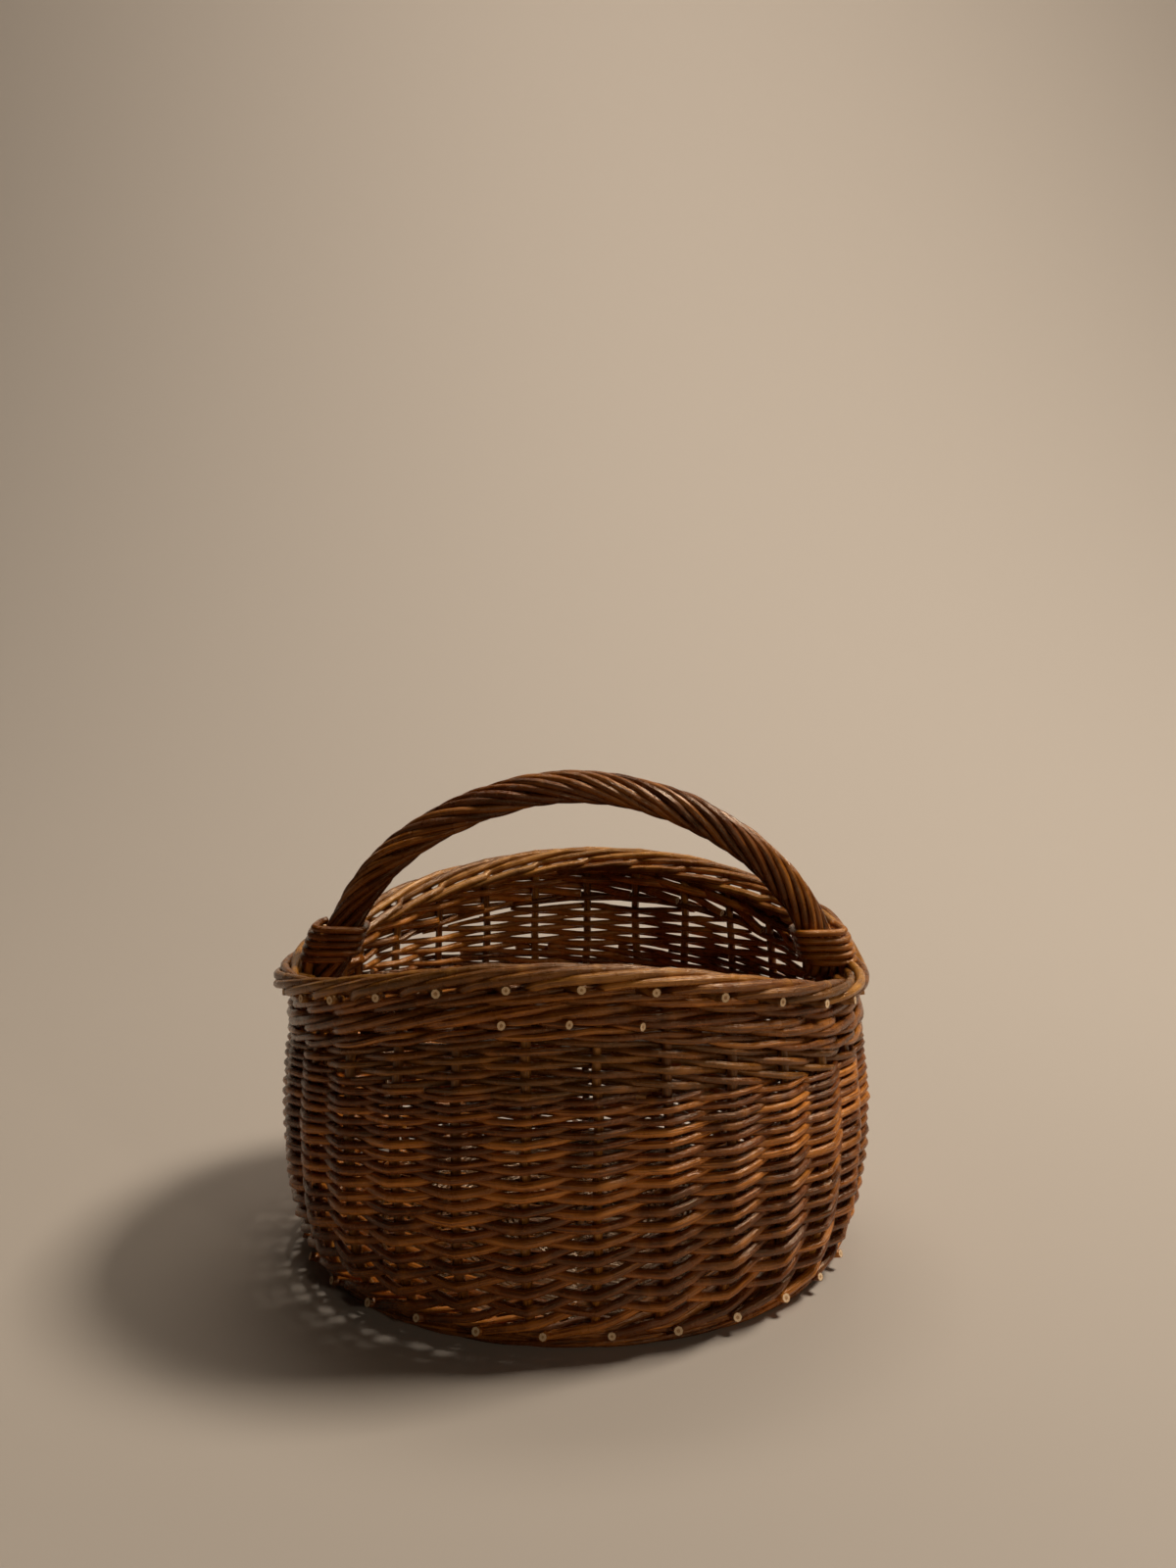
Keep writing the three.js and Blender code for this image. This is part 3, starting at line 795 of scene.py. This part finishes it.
def bow():
    heights = np.linspace(WALL_TOP - LEG_LENGTH, WALL_TOP - LEG_END, LEG_POINTS)
    right_leg = [wall(0, height, -(WALL_HALF + 0.6 + BOW_RADIUS)) for height in heights]
    left_leg = [Vector((-p.x, p.y, p.z)) for p in reversed(right_leg)]
    arch = [bow_point(step / ARCH_STEPS)[0] for step in range(ARCH_STEPS + 1)]
    points = right_leg + arch + left_leg
    # Both ends are cut slim, to go down into the weave.
    tip = [BOW_RADIUS * smooth(0.45 + i * 0.25) for i in range(3)]
    radii = tip + [BOW_RADIUS] * (len(points) - 2 * len(tip)) + tip[::-1]
    return rod(points, radii, tone=0.1, value=0.5, knots=0)


weave("bow", [bow()], ["handle_bow"], bark_handle, sides=12)


def drawn_in(share):
    """The rods are drawn tight where the collars bind them, and spread again below."""
    from_foot = min(share, 1 - share) * BOW_LENGTH
    return 0.98 + 0.02 * smooth((from_foot - 45) / 50) + 0.2 * smooth((17 - from_foot) / 14)


def rope_rod(index):
    """One of the rods that are laid side by side round the bow and turn three times along it."""
    points = []
    for step in range(ROPE_STEPS + 1):
        share = 0.005 + 0.99 * step / ROPE_STEPS
        centre, away = bow_point(share)
        angle = index / ROPE_RODS * math.tau + ROPE_TWISTS * math.tau * share
        angle += drift(share * 9, index + 800, 0.16)
        middle = (BOW_RADIUS + ROPE_RADIUS + 0.2) * drawn_in(share)
        middle += drift(share * 14, index + 830, 0.9)
        points.append(centre + (away * math.cos(angle) + BACK * math.sin(angle)) * middle)
    radius = ROPE_RADIUS * (0.92 + 0.2 * chance(index, 9))
    return rod(points, [radius] * len(points), tone=0.2 * chance(index, 2),
               value=0.3 + 0.45 * chance(index, 3), knots=0.06)


weave("handle_rope", [rope_rod(i) for i in range(ROPE_RODS)],
      [f"handle_rod_{i}" for i in range(1, 7)], bark_handle)

# Collars: level turns bound round each leg and the pegs outside it. Each has a side, 1 for the
# right and -1 for the left, and the height of its lowest turn.
COLLARS = (("right", 1, 196), ("left", -1, 200))
COLLAR_TURNS = 4.5
COLLAR_ROD = 2.45
COLLAR_PITCH = 5.2
COLLAR_OUT = 3.5
COLLAR_HALF_ACROSS = 17.8
COLLAR_HALF_ALONG = 14.6
COLLAR_TUCK = 5
POINTS_IN_TURN = 32
PEG_PLACES = (-11, -5.5, 0, 5.5, 11)
PEG_RADII = (2.8, 2.8, 2.4, 2)
PEG_FOOT = 182
PEG_OUT = 11.6
PEG_CURVE = 34


def collar_point(sign, height, turn, tucked):
    """A point of a level turn, squarish in plan, which starts at the front."""
    across, along = sign * math.sin(turn), -math.cos(turn)
    middle = sign * (bow_reach(height) + COLLAR_OUT) + (0 if sign > 0 else LEFT_LEAN)
    half_across, half_along = COLLAR_HALF_ACROSS - tucked, COLLAR_HALF_ALONG - tucked
    return Vector((middle + half_across * math.copysign(abs(across) ** 0.5, across),
                   half_along * math.copysign(abs(along) ** 0.5, along), height))


def collar(sign, low):
    """The rod that binds a leg, its ends tucked in under its turns."""
    points = []
    for step in range(round(COLLAR_TURNS * POINTS_IN_TURN) + 1):
        turn = step / POINTS_IN_TURN
        height = low + COLLAR_PITCH * turn + drift(turn * 3, sign + 5, 0.4)
        tucked = COLLAR_TUCK * smooth(1 - min(turn, COLLAR_TURNS - turn) / 0.2)
        points.append(collar_point(sign, height, math.tau * turn - 0.9, tucked))
    # The right collar is painted paler than the left: painted light on the side that the key lamp
    # lights.
    return rod(points, [COLLAR_ROD] * len(points), tone=0.05, value=0.7 + 0.15 * sign, knots=0.08)


def pegs(sign, low):
    """Short stout rods that stand in the weave outside each leg and are bound to it."""
    rods = []
    levels = (PEG_FOOT, low - 6, low + 4, low + COLLAR_PITCH * COLLAR_TURNS - 4)
    for side in PEG_PLACES:
        out = PEG_OUT * (1 - abs(side) / PEG_CURVE)
        centres = [Vector((sign * (bow_reach(level) + COLLAR_OUT + out), side, level))
                   for level in levels]
        rods.append(rod(centres, PEG_RADII, tone=0.1, value=0.85, knots=0))
    return rods


for side, sign, low in COLLARS:
    weave(f"{side}_binding", [collar(sign, low)] + pegs(sign, low),
          [f"{side}_collar"], bark_handle)

bpy.data.objects.remove(former)

# The studio: a floor that curves up into the backdrop, and soft light from the upper right.
SWEEP_HALF_WIDTH = 4
SWEEP_FRONT = -3
SWEEP_START = 0.6
SWEEP_RADIUS = 2.2
SWEEP_STEPS = 24


def studio_paper():
    """Matt warm grey paper, which takes soft shadows and has no shine of its own."""
    material, tree = new_material("matt_backdrop_paper")
    paper = add(tree, "ShaderNodeBsdfPrincipled", {"Base Color": colour("BAAB9A"),
                                                  "Roughness": 0.9})
    add(tree, "ShaderNodeOutputMaterial", {0: paper.outputs[0]})
    return material


sweep = bmesh.new()
profile = [sweep.verts.new((-SWEEP_HALF_WIDTH, SWEEP_FRONT, 0))]
for step in range(SWEEP_STEPS + 1):
    bend = math.radians(90 * step / SWEEP_STEPS)
    profile.append(sweep.verts.new((-SWEEP_HALF_WIDTH, SWEEP_START + SWEEP_RADIUS * math.sin(bend),
                                    SWEEP_RADIUS * (1 - math.cos(bend)))))
edges = [sweep.edges.new(pair) for pair in zip(profile, profile[1:])]
wide = bmesh.ops.extrude_edge_only(sweep, edges=edges)["geom"]
bmesh.ops.translate(sweep, vec=(2 * SWEEP_HALF_WIDTH, 0, 0),
                    verts=[part for part in wide if isinstance(part, bmesh.types.BMVert)])
bmesh.ops.recalc_face_normals(sweep, faces=sweep.faces)
for face in sweep.faces:
    face.smooth = True
sweep_mesh = bpy.data.meshes.new("studio_sweep")
sweep.to_mesh(sweep_mesh)
sweep.free()
sweep_mesh.materials.append(studio_paper())
backdrop = bpy.data.objects.new("studio_sweep", sweep_mesh)
bpy.context.scene.collection.objects.link(backdrop)


def lamp(name, place, target, power, size, tint):
    """A soft square lamp that faces its target."""
    data = bpy.data.lights.new(name, "AREA")
    data.energy = power
    data.size = size
    data.color = tint
    light = bpy.data.objects.new(name, data)
    light.location = place
    light.rotation_euler = (Vector(target) - Vector(place)).to_track_quat("-Z", "Y").to_euler()
    bpy.context.scene.collection.objects.link(light)


lamp("key_light", (1.8, 0.24, 2.95), (0, 0, 0.05), 91, 0.75, (1, 0.955, 0.89))
lamp("side_light", (1.15, -1.75, 0.8), (0, 0, 0.15), 3.4, 0.18, (1, 0.9, 0.76))
lamp("front_light", (0.1, -2.5, 0.75), (0, 0, 0.2), 0.2, 0.8, (1, 0.86, 0.68))
lamp("top_light", (-0.2, 0.35, 2.4), (0, 0, 0.1), 2.5, 1.0, (1, 0.88, 0.74))
lamp("backdrop_light", (0.1, 0.9, 2.7), (-0.1, 2.6, 1.0), 29, 1.4, (1, 0.97, 0.94))

world = bpy.data.worlds.new("studio_world")
world.use_nodes = True
bpy.context.scene.world = world
sky = world.node_tree
sky.nodes.clear()
# The camera sees pale paper all round; the room itself gives almost no light.
seen = add(sky, "ShaderNodeLightPath")
glow = add(sky, "ShaderNodeBackground", {"Color": colour("F4E6D8"), "Strength": 0.006})
paper = add(sky, "ShaderNodeBackground", {"Color": colour("BAAC9B"), "Strength": 1})
mixed = add(sky, "ShaderNodeMixShader", {0: seen.outputs["Is Camera Ray"], 1: glow.outputs[0],
                                         2: paper.outputs[0]})
add(sky, "ShaderNodeOutputWorld", {0: mixed.outputs[0]})

bpy.context.scene.view_settings.view_transform = "Standard"
